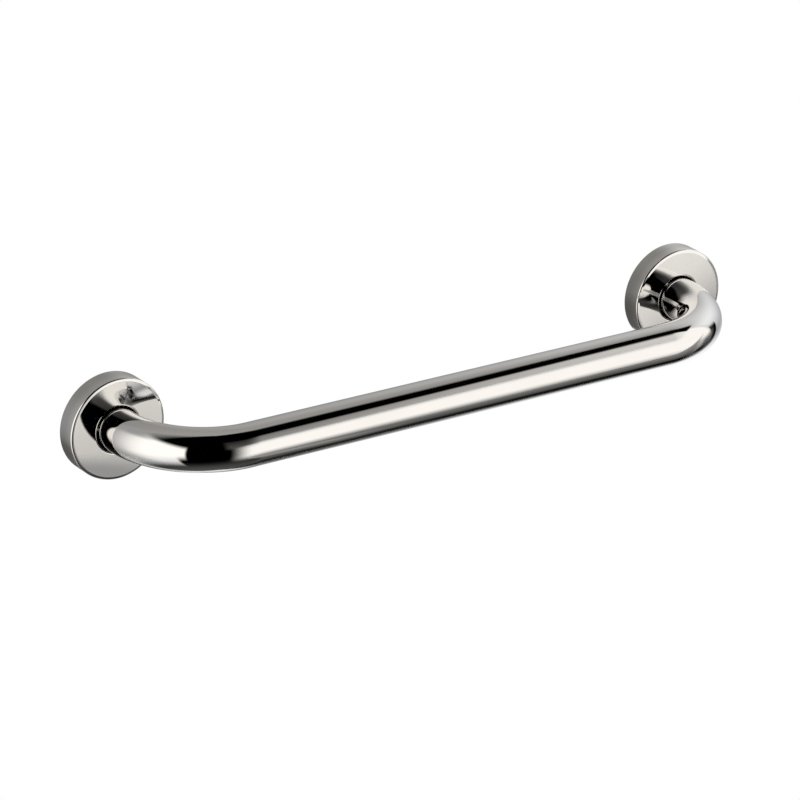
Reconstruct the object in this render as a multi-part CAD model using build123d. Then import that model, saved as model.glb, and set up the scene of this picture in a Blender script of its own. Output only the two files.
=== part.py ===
from build123d import *
from math import radians, tan
import os

# Wall-mounted grab bar, in millimetres.
# The wall is the plane y = 0. The bar stands out towards -Y and runs along X, and +Z is up.
# The origin is on the wall, midway between the two fixing points.

# Bent tube
fixing_spacing = 480.0  # between the axes of the two legs
leg_length = 22.0  # wall to the start of each bend
bend_radius = 64.0  # at the tube's axis
tube_diameter = 32.0
tube_wall = 1.2
tube_end_setback = 0.5  # the plate bears on the wall, the tube's end doesn't

# Wall plates, welded to the tube
plate_thickness = 3.0
plate_bore_clearance = 0.1  # radial, round the tube that passes through
screw_count = 3
screw_hole_diameter = 6.5
screw_circle_diameter = 54.0

# Weld beads
weld_leg = 3.0
weld_crown = 0.3  # how far the bead's face bulges
weld_clearance = 0.05  # radial, round the tube

# Pressed covers that slide over the plates
cover_diameter = 75.0
cover_depth = 16.0
cover_sheet = 1.0
cover_bevel_width = 2.2  # of the narrow bevel round the face
cover_bevel_angle = 12.0  # degrees
cover_bevel_blend = 3.0  # radius between face and bevel
cover_inside_bend = 0.4  # inside radius where the bevel turns into the wall
cover_plate_clearance = 0.3  # radial, round the plate's edge
cover_tube_clearance = 1.1  # radial, round the tube, so that the cover can slide past the bend's start
cover_lip_inside_bend = 0.5  # inside radius where the face rolls in at its hole
cover_lip_run = 1.0  # straight part of the rolled lip
cover_rim_rounding = 0.3  # at the edge against the wall

tube_radius = tube_diameter / 2
projection = leg_length + bend_radius
cover_radius = cover_diameter / 2
plate_radius = cover_radius - cover_sheet - cover_plate_clearance
sides = {"left": -1, "right": 1}


def bent_tube():
    """One round tube with a quarter bend at each end, open at both ends."""
    half = fixing_spacing / 2
    corners = [
        (-half, -tube_end_setback, 0),
        (-half, -projection, 0),
        (half, -projection, 0),
        (half, -tube_end_setback, 0),
    ]
    route = FilletPolyline(*corners, radius=bend_radius)
    ring = Circle(tube_radius) - Circle(tube_radius - tube_wall)
    start = Plane(origin=route @ 0, x_dir=(1, 0, 0), z_dir=route % 0)
    return sweep(start * ring, path=route)


def wall_plate(outward_angle):
    """Flat disc round the tube's end, with one screw hole on the side away from the bar."""
    outline = Circle(plate_radius) - Circle(tube_radius + plate_bore_clearance)
    holes = PolarLocations(screw_circle_diameter / 2, screw_count, start_angle=outward_angle)
    outline -= holes * Circle(screw_hole_diameter / 2)
    return extrude(Plane.XZ * outline, plate_thickness)


def weld_bead():
    """Fillet weld between the plate's front face and the tube."""
    root = Vector(tube_radius + weld_clearance, -plate_thickness)
    toe = root + Vector(weld_leg, 0)
    top = root - Vector(0, weld_leg)
    crown = (toe + top) / 2 + Vector(weld_crown, -weld_crown)
    edges = [Line(root, toe), ThreePointArc(toe, crown, top), Line(top, root)]
    return revolve(make_face(edges), Axis.Y)


def round_corner(section, corner, radius):
    """Round the section's corner that is nearest to the given point."""
    vertex = section.vertices().sort_by_distance(Vector(*corner))[0]
    return fillet(vertex, radius)


def cover():
    """Drawn cup with a bevelled flat face, a hole with a rolled lip for the tube, and an open back."""
    hole = tube_radius + cover_tube_clearance
    inner = cover_radius - cover_sheet
    inside_face = -cover_depth + cover_sheet
    slope = radians(cover_bevel_angle)
    flat_end = cover_radius - cover_bevel_width
    edge_front = -cover_depth + cover_bevel_width * tan(slope)
    lip_back = hole + cover_sheet
    lip_bend = cover_lip_inside_bend + cover_sheet
    lip_end = -cover_depth + lip_bend + cover_lip_run
    hole_front = (hole, -cover_depth)
    bevel_start = (flat_end, -cover_depth)
    face_edge = (cover_radius, edge_front)
    rim_outer = (cover_radius, 0)
    rim_inner = (inner, 0)
    inside_corner = (inner, edge_front + cover_sheet * tan(radians(45) - slope / 2))
    inside_bevel = (flat_end - cover_sheet * tan(slope / 2), inside_face)
    lip_root = (lip_back, inside_face)
    lip_edges = [(lip_back, lip_end), (hole, lip_end)]
    front = [hole_front, bevel_start, face_edge, rim_outer]
    inside = [rim_inner, inside_corner, inside_bevel, lip_root]
    outline = Polyline(*front, *inside, *lip_edges, close=True)
    section = make_face(outline)
    section = round_corner(section, bevel_start, cover_bevel_blend)
    section = round_corner(section, inside_bevel, cover_bevel_blend - cover_sheet)
    section = round_corner(section, face_edge, cover_inside_bend + cover_sheet)
    section = round_corner(section, inside_corner, cover_inside_bend)
    section = round_corner(section, hole_front, lip_bend)
    section = round_corner(section, lip_root, cover_lip_inside_bend)
    section = round_corner(section, rim_outer, min(cover_rim_rounding, 0.8 * cover_sheet))
    return revolve(section, Axis.Y)


def all_nodes():
    """Every piece in its place, by name."""
    nodes = {"bar_tube": bent_tube()}
    for side, sign in sides.items():
        fixing = Pos(sign * fixing_spacing / 2, 0, 0)
        outward_angle = 90 - 90 * sign
        nodes[f"{side}_wall_plate"] = fixing * wall_plate(outward_angle)
        nodes[f"{side}_weld"] = fixing * weld_bead()
        nodes[f"{side}_cover"] = fixing * cover()
    return nodes


os.makedirs("parts", exist_ok=True)
for name, solid in all_nodes().items():
    solid.label = name
    export_step(solid, f"parts/{name}.step")
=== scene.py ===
import math

import bmesh
import bpy
from mathutils import Matrix, Vector


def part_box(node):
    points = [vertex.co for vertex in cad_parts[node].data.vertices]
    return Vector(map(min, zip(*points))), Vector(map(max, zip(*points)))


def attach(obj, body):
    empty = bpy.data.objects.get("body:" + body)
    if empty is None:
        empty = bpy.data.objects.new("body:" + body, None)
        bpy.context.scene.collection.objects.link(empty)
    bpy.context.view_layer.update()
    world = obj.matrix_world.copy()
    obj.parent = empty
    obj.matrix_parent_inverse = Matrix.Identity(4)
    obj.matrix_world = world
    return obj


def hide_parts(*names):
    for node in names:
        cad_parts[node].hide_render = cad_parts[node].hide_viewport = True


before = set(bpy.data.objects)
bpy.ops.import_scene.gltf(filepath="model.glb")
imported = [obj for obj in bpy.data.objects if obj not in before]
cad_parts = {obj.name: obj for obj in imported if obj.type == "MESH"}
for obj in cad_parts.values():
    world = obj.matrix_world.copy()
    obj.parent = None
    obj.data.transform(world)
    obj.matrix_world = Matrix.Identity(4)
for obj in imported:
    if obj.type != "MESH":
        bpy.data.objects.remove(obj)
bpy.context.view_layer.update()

# Looks of a wall-mounted grab bar, in metres.
# The wall is the plane y = 0. The bar stands out towards -Y and runs along X, and +Z is up.

mm = 0.001
sides = {"left": -1, "right": 1}

# Sizes read from the solids
tube_low, tube_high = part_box("bar_tube")
cover_low, cover_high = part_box("left_cover")
tube_radius = (tube_high.z - tube_low.z) / 2
fixing_half = -(cover_low.x + cover_high.x) / 2
projection = -tube_low.y - tube_radius
tube_end = -tube_high.y
cover_radius = (cover_high.z - cover_low.z) / 2
cover_depth = cover_high.y - cover_low.y

# Sizes that the solids' boxes don't show
bend_radius = 64 * mm
tube_wall = 1.2 * mm
cover_sheet = 1.0 * mm
cover_inside_bend = 0.4 * mm
cover_bevel_width = 2.2 * mm
cover_bevel_angle = math.radians(12)
cover_bevel_blend = 3.0 * mm
cover_tube_clearance = 1.1 * mm
cover_lip_inside_bend = 0.5 * mm
cover_lip_run = 1.0 * mm
cover_rim_rounding = 0.3 * mm
plate_thickness = 3.0 * mm
weld_clearance = 0.05 * mm
weld_leg = 3.0 * mm
weld_crown = 0.3 * mm

# Ripples of the weld beads
weld_ripples = 58
weld_ripple_height = 0.16 * mm
weld_ripple_lag = 0.9  # how far a ripple trails at the bead's middle, in ripples
weld_ripple_level = 0.6  # share of a ripple that lies below the smooth bead

# Fineness of the meshes
tube_segments = 128
bend_steps = 80
cover_segments = 288
corner_steps = 16
edge_support = 0.08 * mm
weld_segments_per_ripple = 8
weld_face_steps = 10
sharp_angle = math.radians(30)

# Metals: a dark and a light tone each
mirror_tones = (0.735, 0.725, 0.705), (0.765, 0.755, 0.735)
wall_tones = (0.62, 0.61, 0.59), (0.82, 0.81, 0.79)
bore_tones = (0.42, 0.41, 0.39), (0.55, 0.54, 0.52)
plate_tones = (0.47, 0.46, 0.44), (0.62, 0.61, 0.59)
inside_tones = (0.52, 0.51, 0.49), (0.64, 0.63, 0.61)
weld_tones = (0.33, 0.33, 0.36), (0.52, 0.46, 0.36)

# Roughness, from low to high
tube_roughness = 0.01, 0.03
buffing_roughness = 0.0, 0.015
face_roughness = 0.01, 0.025
wall_roughness = 0.1, 0.14
wheel_roughness = 0.0, 0.05
bore_roughness = 0.3, 0.42
plate_roughness = 0.24, 0.36
inside_roughness = 0.24, 0.34
weld_roughness = 0.28, 0.45

# Grain of the metals
buffing_stretch = (9.0, 900.0, 900.0)
wheel_stretch = (700.0, 25.0, 700.0)
mill_stretch = (60.0, 2200.0, 2200.0)
mill_relief = 0.02 * mm
weld_relief = 0.1 * mm
# Depths on the covers' walls for their painted sheen and shade: the colour is lightest from the first on,
# towards the face, and darkest from the second on, towards the wall
wall_painted_sheen_depth = -15 * mm
wall_painted_shade_depth = -7 * mm
wall_cloudiness = 0.05
noise_low = 0.3  # a noise's middle part lies between these two
noise_high = 0.7

# Camera, fitted to the photograph, with its angles in degrees
image_width = 800
camera_azimuth = -33.92
camera_elevation = 22.74
camera_roll = 1.14
camera_distance = 3.85684
camera_focus = 5354.46  # in pixels
camera_aim = Vector((5.06, 0, -36.57)) * mm
camera_reach = 100.0
sensor_width = 36.0

# Studio
floor_drop = 2.6
floor_size = 5.0
floor_colour = (0.97, 0.97, 0.97)
lamp_size = 1.2
lamp_power = 25.0
lamp_place = (0.2, -0.4, 1.9)
room_light = 0.9
seen_white = 1.0  # strength of the surroundings for the view and for reflections
card_step = 3.0  # degrees between a card's mesh lines
neutral = (1.0, 1.0, 1.0)
warm = (1.03, 1.0, 0.965)
cool = (0.985, 1.0, 1.02)


def new_piece(name, points, faces, finishes, materials):
    """A closed, smooth mesh with one material number for each face."""
    mesh = bpy.data.meshes.new(name)
    mesh.from_pydata(points, [], faces)
    for material in materials:
        mesh.materials.append(material)
    mesh.polygons.foreach_set("material_index", finishes)
    shell = bmesh.new()
    shell.from_mesh(mesh)
    bmesh.ops.recalc_face_normals(shell, faces=shell.faces)
    shell.to_mesh(mesh)
    shell.free()
    mesh.shade_smooth()
    mesh.set_sharp_from_angle(angle=sharp_angle)
    piece = bpy.data.objects.new(name, mesh)
    bpy.context.scene.collection.objects.link(piece)
    return piece


# Bent tube

leg_run = projection - bend_radius - tube_end
bend_run = bend_radius * math.pi / 2
straight_run = 2 * (fixing_half - bend_radius)
tube_run = 2 * leg_run + 2 * bend_run + straight_run


def tube_axis(distance):
    """Point and direction of the tube's axis, by the distance from its left end."""
    if distance > tube_run / 2:
        point, along = tube_axis(tube_run - distance)
        return Vector((-point.x, point.y, 0)), Vector((along.x, -along.y, 0))
    bend_start = Vector((-fixing_half, -tube_end - leg_run, 0))
    if distance < leg_run:
        return bend_start + Vector((0, leg_run - distance, 0)), Vector((0, -1, 0))
    turn = min((distance - leg_run) / bend_radius, math.pi / 2)
    reach = Vector((1 - math.cos(turn), -math.sin(turn), 0)) * bend_radius
    past_bend = max(distance - leg_run - bend_run, 0)
    along = Vector((math.sin(turn), -math.cos(turn), 0))
    return bend_start + reach + along * past_bend, along


def tube_stations():
    """Distances along the axis: close together in the bends, few on the straight runs."""
    bend_gap = bend_run / bend_steps
    half = [0.0, leg_run / 2, leg_run - bend_gap]
    half += [leg_run + bend_gap * step for step in range(bend_steps + 1)]
    half += [leg_run + bend_run + bend_gap, leg_run + bend_run + straight_run / 4]
    return half + [tube_run / 2] + [tube_run - distance for distance in reversed(half)]


def bar_tube(outside, bore):
    """The whole tube with its bore, its cut ends and its unrolled place kept for the finish."""
    stations = tube_stations()
    up = Vector((0, 0, 1))
    points = []
    unbent = []
    for radius in (tube_radius, tube_radius - tube_wall):
        for distance in stations:
            centre, along = tube_axis(distance)
            side = up.cross(along)
            for segment in range(tube_segments):
                angle = 2 * math.pi * segment / tube_segments
                across = radius * math.cos(angle)
                height = radius * math.sin(angle)
                points.append(centre + across * side + height * up)
                unbent += [distance, across, height]
    faces = []
    finishes = []
    ring_count = len(stations)
    polished, plain = range(2)

    def join_rings(first, second, finish):
        for segment in range(tube_segments):
            after = (segment + 1) % tube_segments
            corners = (first, segment), (first, after), (second, after), (second, segment)
            faces.append([ring * tube_segments + place for ring, place in corners])
            finishes.append(finish)

    for shell, finish in ((0, polished), (ring_count, plain)):
        for ring in range(ring_count - 1):
            join_rings(shell + ring, shell + ring + 1, finish)
    join_rings(0, ring_count, plain)
    join_rings(ring_count - 1, 2 * ring_count - 1, plain)
    piece = new_piece("bar_tube_polished", points, faces, finishes, [outside, bore])
    place = piece.data.attributes.new("unbent", "FLOAT_VECTOR", "POINT")
    place.data.foreach_set("vector", unbent)
    return piece


# Turned forms

def rounded_outline(corners):
    """Closed outline as (radius, depth, finish) points.

    A corner is its radius, depth and rounding, and the finish that follows it.
    The roundings themselves have the first finish.
    """
    outline = []
    for number, (radius, depth, rounding, finish) in enumerate(corners):
        corner = Vector((radius, depth))
        if rounding == 0:
            outline.append((radius, depth, finish))
            continue
        before = Vector(corners[number - 1][:2])
        after = Vector(corners[(number + 1) % len(corners)][:2])
        back = (before - corner).normalized()
        ahead = (after - corner).normalized()
        half = back.angle(ahead) / 2
        reach = rounding / math.tan(half)
        centre = corner + (back + ahead).normalized() * rounding / math.sin(half)
        start = corner + reach * back - centre
        end = corner + reach * ahead - centre
        turn = math.pi - 2 * half
        finish_before = corners[number - 1][3]
        outline.append((*(corner + (reach + edge_support) * back), finish_before))
        for step in range(corner_steps + 1):
            gone = turn * step / corner_steps
            point = centre + (math.sin(turn - gone) * start + math.sin(gone) * end) / math.sin(turn)
            outline.append((*point, 0 if step < corner_steps else finish))
        outline.append((*(corner + (reach + edge_support) * ahead), finish))
    return outline


def turned_piece(name, outline, middle, segments, materials, swell=None):
    """The outline turned about the leg's axis.

    swell moves a point outwards by its place on the outline and its angle.
    """
    points = []
    faces = []
    finishes = []
    count = len(outline)
    for segment in range(segments):
        angle = 2 * math.pi * segment / segments
        after = (segment + 1) % segments
        for number, (radius, depth, finish) in enumerate(outline):
            if swell:
                shift = swell(number / count, angle)
                radius += shift
                depth -= shift
            points.append((middle + radius * math.cos(angle), depth, radius * math.sin(angle)))
            follower = (number + 1) % count
            corners = (segment, number), (after, number), (after, follower), (segment, follower)
            faces.append([turn * count + place for turn, place in corners])
            finishes.append(finish)
    return new_piece(name, points, faces, finishes, materials)


def cover(side, face, wall, inside):
    """Drawn cup: mirror face and edges, a lip rolled in at the hole, satin wall, plain inside."""
    hole = tube_radius + cover_tube_clearance
    inner = cover_radius - cover_sheet
    inside_face = cover_sheet - cover_depth
    lip_bend = cover_lip_inside_bend + cover_sheet
    lip_end = lip_bend + cover_lip_run - cover_depth
    flat = cover_radius - cover_bevel_width
    edge = cover_bevel_width * math.tan(cover_bevel_angle) - cover_depth
    flat_inside = flat - cover_sheet * math.tan(cover_bevel_angle / 2)
    edge_inside = edge + cover_sheet * math.tan(math.pi / 4 - cover_bevel_angle / 2)
    mirror, satin, plain = range(3)
    corners = [
        (hole, -cover_depth, lip_bend, mirror),
        (flat, -cover_depth, cover_bevel_blend, mirror),
        (cover_radius, edge, cover_inside_bend + cover_sheet, satin),
        (cover_radius, 0, cover_rim_rounding, plain),
        (inner, 0, 0, plain),
        (inner, edge_inside, cover_inside_bend, plain),
        (flat_inside, inside_face, cover_bevel_blend - cover_sheet, plain),
        (hole + cover_sheet, inside_face, cover_lip_inside_bend, plain),
        (hole + cover_sheet, lip_end, 0, plain),
        (hole, lip_end, 0, mirror),
    ]
    outline = rounded_outline(corners)
    middle = sides[side] * fixing_half
    return turned_piece(f"{side}_cover_polished", outline, middle, cover_segments, [face, wall, inside])


def weld_bead(side, material):
    """Fillet weld between plate and tube, with the ripples of a hand-laid bead."""
    root = Vector((tube_radius + weld_clearance, -plate_thickness))
    toe = root + Vector((weld_leg, 0))
    top = root - Vector((0, weld_leg))
    outline = [(*root, 0)]
    for step in range(weld_face_steps + 1):
        share = step / weld_face_steps
        crown = weld_crown * math.sin(math.pi * share)
        outline.append((*(toe.lerp(top, share) + Vector((crown, -crown))), 0))

    def ripple(place, angle):
        """Overlapping scallops, highest at the middle of the bead's face."""
        lag = weld_ripple_lag * math.sin(math.pi * place)
        phase = (angle * weld_ripples / (2 * math.pi) + lag) % 1
        scallop = abs(math.sin(math.pi * phase)) - weld_ripple_level
        return weld_ripple_height * math.sin(math.pi * place) ** 2 * scallop

    middle = sides[side] * fixing_half
    segments = weld_ripples * weld_segments_per_ripple
    return turned_piece(f"{side}_weld_bead", outline, middle, segments, [material], ripple)


# Finishes

class Finish:
    """One metal's node tree, with short calls to add and join its nodes."""

    def __init__(self, name):
        self.material = bpy.data.materials.new(name)
        self.material.use_nodes = True
        self.nodes = self.material.node_tree.nodes
        self.links = self.material.node_tree.links
        self.shader = self.nodes["Principled BSDF"]
        self.shader.inputs["Metallic"].default_value = 1.0

    def add(self, kind, **values):
        """A new node. A value names an input, or a setting of the node."""
        node = self.nodes.new(kind)
        for name, value in values.items():
            socket = node.inputs.get(name.replace("_", " "))
            if socket is None:
                setattr(node, name, value)
            elif isinstance(value, bpy.types.NodeSocket):
                self.links.new(value, socket)
            else:
                socket.default_value = value
        return node

    def own_place(self):
        """Coordinates that move with the piece."""
        return self.add("ShaderNodeTexCoord").outputs["Object"]

    def stretched(self, source, scale):
        """Coordinates with a scale of their own along each axis."""
        return self.add("ShaderNodeMapping", Vector=source, Scale=scale).outputs["Vector"]

    def noise(self, coordinates, scale, detail):
        """A soft random pattern."""
        node = self.add("ShaderNodeTexNoise", Vector=coordinates, Scale=scale, Detail=detail)
        return node.outputs["Fac"]

    def ranged(self, source, low, high, start=noise_low, end=noise_high):
        """The source's part from start to end, spread between two values."""
        node = self.add("ShaderNodeMapRange", Value=source, From_Min=start, From_Max=end)
        node.inputs["To Min"].default_value = low
        node.inputs["To Max"].default_value = high
        return node.outputs["Result"]

    def joined(self, operation, first, second):
        """Two patterns in one, by adding or multiplying."""
        node = self.add("ShaderNodeMath", operation=operation)
        self.links.new(first, node.inputs[0])
        self.links.new(second, node.inputs[1])
        return node.outputs["Value"]

    def tones(self, source, dark, light):
        """Base colour between two tones."""
        ramp = self.add("ShaderNodeValToRGB", Fac=source)
        ramp.color_ramp.elements[0].position = noise_low
        ramp.color_ramp.elements[1].position = noise_high
        ramp.color_ramp.elements[0].color = (*dark, 1)
        ramp.color_ramp.elements[1].color = (*light, 1)
        self.links.new(ramp.outputs["Color"], self.shader.inputs["Base Color"])

    def rough(self, source):
        """Roughness that follows a pattern."""
        self.links.new(source, self.shader.inputs["Roughness"])

    def bump(self, source, distance):
        """Fine relief that follows a pattern."""
        node = self.add("ShaderNodeBump", Height=source, Distance=distance)
        self.links.new(node.outputs["Normal"], self.shader.inputs["Normal"])


def polished_tube():
    """Mirror polish with faint haze and a trace of the buffing along the tube."""
    finish = Finish("polished_tube")
    place = finish.add("ShaderNodeAttribute", attribute_name="unbent").outputs["Vector"]
    haze = finish.noise(place, scale=22.0, detail=4.0)
    buffing = finish.noise(finish.stretched(place, buffing_stretch), scale=1.0, detail=2.0)
    finish.tones(haze, *mirror_tones)
    polish = finish.ranged(haze, *tube_roughness)
    finish.rough(finish.joined("ADD", polish, finish.ranged(buffing, *buffing_roughness)))
    return finish.material


def polished_face():
    """Mirror polish of the covers' faces and edges."""
    finish = Finish("polished_cover")
    haze = finish.noise(finish.own_place(), scale=35.0, detail=4.0)
    finish.tones(haze, *mirror_tones)
    finish.rough(finish.ranged(haze, *face_roughness))
    return finish.material


def satin_wall():
    """Fine matt of the covers' side walls with the polishing wheel's lines, and a painted sheen: lighter
    towards the face, darker towards the wall.
    """
    finish = Finish("satin_cover_wall")
    place = finish.own_place()
    depth = finish.add("ShaderNodeSeparateXYZ", Vector=place).outputs["Y"]
    lines = finish.noise(finish.stretched(place, wheel_stretch), scale=1.0, detail=3.0)
    haze = finish.noise(place, scale=60.0, detail=3.0)
    # Painted sheen and shade: the base colour is lighter towards the face and darker towards the wall,
    # standing in for reflected light
    painted_sheen = finish.ranged(depth, noise_high, noise_low, wall_painted_sheen_depth, wall_painted_shade_depth)
    clouds = finish.ranged(haze, -wall_cloudiness, wall_cloudiness)
    finish.tones(finish.joined("ADD", painted_sheen, clouds), *wall_tones)
    polish = finish.ranged(haze, *wall_roughness)
    finish.rough(finish.joined("ADD", polish, finish.ranged(lines, *wheel_roughness)))
    return finish.material


def mill_steel(name, tones, roughness):
    """Cold-rolled sheet: dull grain along one direction, with cloudy patches."""
    finish = Finish(name)
    place = finish.own_place()
    clouds = finish.noise(place, scale=90.0, detail=5.0)
    grain = finish.noise(finish.stretched(place, mill_stretch), scale=1.0, detail=4.0)
    finish.tones(finish.joined("MULTIPLY", clouds, grain), *tones)
    finish.rough(finish.ranged(clouds, *roughness))
    finish.bump(grain, mill_relief)
    return finish.material


def weld_steel():
    """As welded: straw to blue-grey tints across the bead."""
    finish = Finish("weld_steel")
    tint = finish.noise(finish.own_place(), scale=260.0, detail=4.0)
    finish.tones(tint, *weld_tones)
    finish.rough(finish.ranged(tint, *weld_roughness))
    finish.bump(tint, weld_relief)
    return finish.material


# Pieces on their bodies

def dress():
    """Put the finished pieces in place of the plain solids."""
    bore = mill_steel("tube_bore", bore_tones, bore_roughness)
    plate = mill_steel("plate_steel", plate_tones, plate_roughness)
    inside = mill_steel("cover_inside", inside_tones, inside_roughness)
    face = polished_face()
    wall = satin_wall()
    weld = weld_steel()
    tube = bar_tube(polished_tube(), bore)
    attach(tube, "bar")
    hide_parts("bar_tube")
    for side in sides:
        cup = cover(side, face, wall, inside)
        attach(cup, f"{side}_cover")
        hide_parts(f"{side}_cover")
        bead = weld_bead(side, weld)
        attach(bead, "bar")
        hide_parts(f"{side}_weld")
        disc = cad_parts[f"{side}_wall_plate"]
        disc.data.materials.clear()
        disc.data.materials.append(plate)


# Studio

def heading(azimuth, elevation):
    """Unit direction from the object: azimuth 0 is the front and 90 is +X, in degrees."""
    turn = math.radians(azimuth)
    lift = math.radians(elevation)
    return Vector((math.sin(turn) * math.cos(lift), -math.cos(turn) * math.cos(lift), math.sin(lift)))


def card_light(name, brightness, tint, edges):
    """Even glow from a card's lower to its upper edge, faded out towards its borders."""
    material = bpy.data.materials.new(name)
    material.use_nodes = True
    nodes = material.node_tree.nodes
    links = material.node_tree.links
    nodes.clear()
    place = nodes.new("ShaderNodeSeparateXYZ")
    links.new(nodes.new("ShaderNodeTexCoord").outputs["UV"], place.inputs["Vector"])

    def mapped(source, start, end, low, high):
        node = nodes.new("ShaderNodeMapRange")
        node.interpolation_type = "SMOOTHSTEP"
        for socket, value in zip(node.inputs[1:5], (start, end, low, high)):
            socket.default_value = value
        links.new(source, node.inputs["Value"])
        return node.outputs["Result"]

    glow = nodes.new("ShaderNodeEmission")
    glow.inputs["Color"].default_value = (*tint, 1)
    links.new(mapped(place.outputs["Y"], 0, 1, *brightness), glow.inputs["Strength"])
    cover_share = None
    for axis, (low_edge, high_edge) in zip("XY", edges):
        for start, inwards, width in ((0, 1, low_edge), (1, -1, high_edge)):
            if width == 0:
                continue
            fade = mapped(place.outputs[axis], start, start + inwards * width, 0, 1)
            if cover_share is not None:
                product = nodes.new("ShaderNodeMath")
                product.operation = "MULTIPLY"
                links.new(cover_share, product.inputs[0])
                links.new(fade, product.inputs[1])
                fade = product.outputs["Value"]
            cover_share = fade
    output = nodes.new("ShaderNodeOutputMaterial")
    mix = nodes.new("ShaderNodeMixShader")
    links.new(cover_share, mix.inputs["Fac"])
    links.new(nodes.new("ShaderNodeBsdfTransparent").outputs["BSDF"], mix.inputs[1])
    links.new(glow.outputs["Emission"], mix.inputs[2])
    links.new(mix.outputs["Shader"], output.inputs["Surface"])
    return material


def studio_card(name, radius, azimuths, low, high, brightness, soft, tint=neutral):
    """Curved card round the object, with its places in degrees.

    low and high are its borders' elevations at its left and right end.
    brightness is that of its lower and its upper border.
    soft is how far each border fades: left, right, low, high. At least one does.
    """
    width = azimuths[1] - azimuths[0]
    height = sum(high) / 2 - sum(low) / 2
    columns = max(2, math.ceil(width / card_step))
    rows = max(2, math.ceil(height / card_step))
    points = []
    places = []
    for row in range(rows + 1):
        up = row / rows
        for column in range(columns + 1):
            along = column / columns
            bottom = low[0] + (low[1] - low[0]) * along
            top = high[0] + (high[1] - high[0]) * along
            points.append(radius * heading(azimuths[0] + width * along, bottom + (top - bottom) * up))
            places.append((along, up))
    faces = []
    for row in range(rows):
        for column in range(columns):
            first = row * (columns + 1) + column
            faces.append([first, first + 1, first + columns + 2, first + columns + 1])
    mesh = bpy.data.meshes.new(name)
    mesh.from_pydata(points, [], faces)
    layer_map = mesh.uv_layers.new(name="card")
    for loop in mesh.loops:
        layer_map.data[loop.index].uv = places[loop.vertex_index]
    edges = [[soft[0] / width, soft[1] / width], [soft[2] / height, soft[3] / height]]
    mesh.materials.append(card_light(name, brightness, tint, edges))
    card = bpy.data.objects.new(name, mesh)
    bpy.context.scene.collection.objects.link(card)
    card.visible_camera = False
    card.visible_diffuse = False
    card.visible_shadow = False


def tent():
    """Panels and flags that the polish reflects, from the far ones to the near ones."""
    studio_card("right_panel", 2.8, (-10, 105), (-85, -40), (10, 65), (1.25, 1.25), (5, 5, 55, 15), warm)
    studio_card("rear_board", 2.5, (80, 245), (-90, -50), (90, 90), (0.1, 0.4), (10, 15, 25, 0), warm)
    studio_card("right_rear", 2.45, (80, 170), (-45, -80), (55, 60), (0.0, 1.5), (10, 70, 0, 45), cool)
    studio_card("rear_low", 2.4, (80, 160), (-65, -60), (-10, -10), (1.3, 1.0), (15, 5, 15, 25), cool)
    studio_card("right_panel_top", 2.35, (-10, 100), (10, 55), (45, 80), (1.0, 0.0), (5, 5, 5, 0), warm)
    studio_card("camera_gap", 2.3, (-60, 15), (-90, -60), (70, 70), (0.0, 0.0), (5, 24, 5, 0))
    studio_card("cover_shade", 2.2, (-15, 65), (10, 30), (65, 65), (0.1, 0.0), (10, 55, 12, 10))
    studio_card("ceiling_right", 2.15, (-20, 110), (50, 45), (90, 90), (0.0, 0.0), (0, 20, 5, 0))
    studio_card("stripe_end", 2.1, (72, 102), (38, 38), (60, 60), (0.0, 0.0), (5, 8, 2, 5))
    studio_card("low_right_flag", 1.8, (-20, 110), (-90, -85), (-25, 10), (0.0, 0.0), (0, 40, 0, 40))
    studio_card("left_shade", 1.33, (-150, -75), (-60, -55), (70, 85), (0.4, 0.4), (20, 40, 20, 5))
    studio_card("left_panel", 1.32, (-135, -50), (-60, -30), (35, 50), (1.35, 1.35), (55, 3, 30, 15), warm)
    studio_card("ceiling_left", 1.31, (-130, -20), (60, -5), (90, 90), (0.0, 0.0), (50, 0, 15, 0))
    studio_card("right_low_flag", 1.28, (30, 75), (-75, -25), (-35, 15), (0.1, 0.35), (0, 15, 5, 5))
    studio_card("right_gap", 1.24, (82, 95), (-40, -45), (15, 10), (0.0, 0.0), (2, 2, 30, 10))
    studio_card("under_card", 1.2, (-180, 80), (-90, -90), (-50, 0), (0.1, 0.0), (40, 70, 0, 35))
    studio_card("right_line", 1.15, (65, 90), (-35, -30), (0, 10), (0.0, 0.3), (10, 10, 0, 15))
    studio_card("left_low_flag", 0.38, (-20, 30), (-30, -70), (-25, -35), (0.3, 0.4), (0, 30, 15, 5))


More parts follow.
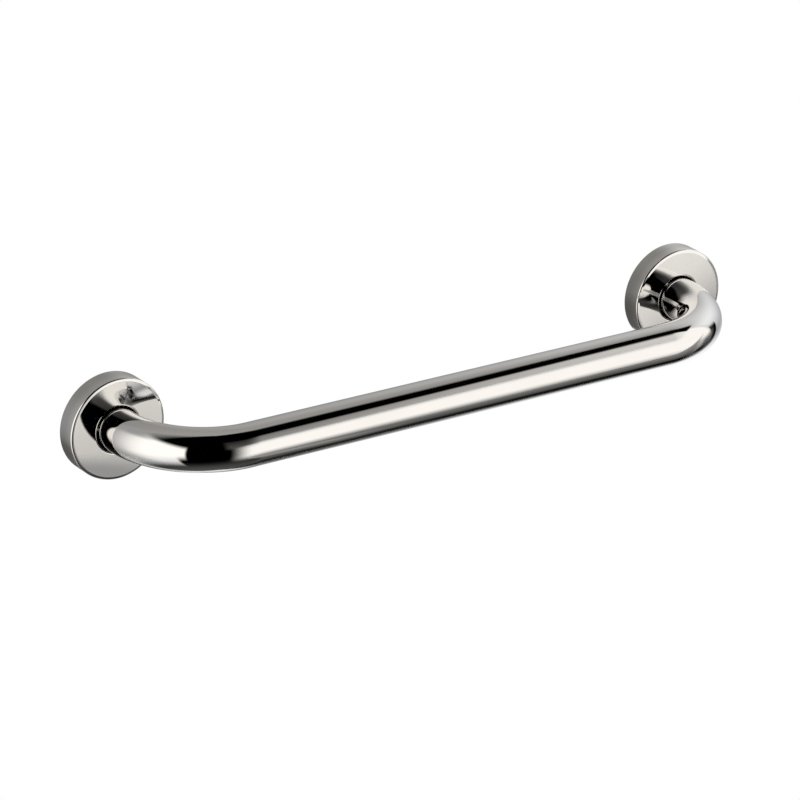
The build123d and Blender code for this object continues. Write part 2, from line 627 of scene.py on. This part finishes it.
def floor():
    """Pale floor, well below the bar."""
    material = bpy.data.materials.new("floor")
    material.use_nodes = True
    shader = material.node_tree.nodes["Principled BSDF"]
    shader.inputs["Base Color"].default_value = (*floor_colour, 1)
    shader.inputs["Roughness"].default_value = 1.0
    shader.inputs["Specular IOR Level"].default_value = 0.0
    half = floor_size / 2
    mesh = bpy.data.meshes.new("floor")
    corners = [(-half, -half, 0), (half, -half, 0), (half, half, 0), (-half, half, 0)]
    mesh.from_pydata(corners, [], [[0, 1, 2, 3]])
    mesh.materials.append(material)
    ground = bpy.data.objects.new("floor", mesh)
    ground.location = (0, 0, -floor_drop)
    bpy.context.scene.collection.objects.link(ground)


def white_world():
    """White surroundings for the view, for reflections and as the room's even light."""
    world = bpy.data.worlds.new("studio")
    bpy.context.scene.world = world
    world.use_nodes = True
    nodes = world.node_tree.nodes
    links = world.node_tree.links
    background = nodes["Background"]
    background.inputs["Color"].default_value = (1, 1, 1, 1)
    rays = nodes.new("ShaderNodeLightPath")
    share = rays.outputs["Is Camera Ray"]
    for kind in ("Is Glossy Ray", "Is Transmission Ray"):
        either = nodes.new("ShaderNodeMath")
        either.operation = "MAXIMUM"
        links.new(share, either.inputs[0])
        links.new(rays.outputs[kind], either.inputs[1])
        share = either.outputs["Value"]
    level = nodes.new("ShaderNodeMapRange")
    level.inputs["To Min"].default_value = room_light
    level.inputs["To Max"].default_value = seen_white
    links.new(share, level.inputs["Value"])
    links.new(level.outputs["Result"], background.inputs["Strength"])


def top_lamp():
    """Large soft lamp that lays the object's shadow on the floor."""
    light = bpy.data.lights.new("top_lamp", "AREA")
    light.size = lamp_size
    light.energy = lamp_power
    lamp = bpy.data.objects.new("top_lamp", light)
    lamp.location = lamp_place
    bpy.context.scene.collection.objects.link(lamp)
    lamp.visible_glossy = False


def camera():
    """The photograph's view."""
    back = heading(camera_azimuth, camera_elevation)
    level = heading(camera_azimuth + 90, 0)
    upright = back.cross(level)
    roll = math.radians(camera_roll)
    right = math.cos(roll) * level + math.sin(roll) * upright
    up = math.cos(roll) * upright - math.sin(roll) * level
    data = bpy.data.cameras.new("camera")
    data.sensor_width = sensor_width
    data.lens = camera_focus * sensor_width / image_width
    data.clip_end = camera_reach
    view = bpy.data.objects.new("camera", data)
    place = camera_aim + camera_distance * back
    view.matrix_world = Matrix.Translation(place) @ Matrix((right, up, back)).transposed().to_4x4()
    bpy.context.scene.collection.objects.link(view)
    bpy.context.scene.camera = view


bpy.context.scene.view_settings.view_transform = "Standard"
dress()
white_world()
top_lamp()
floor()
tent()
camera()
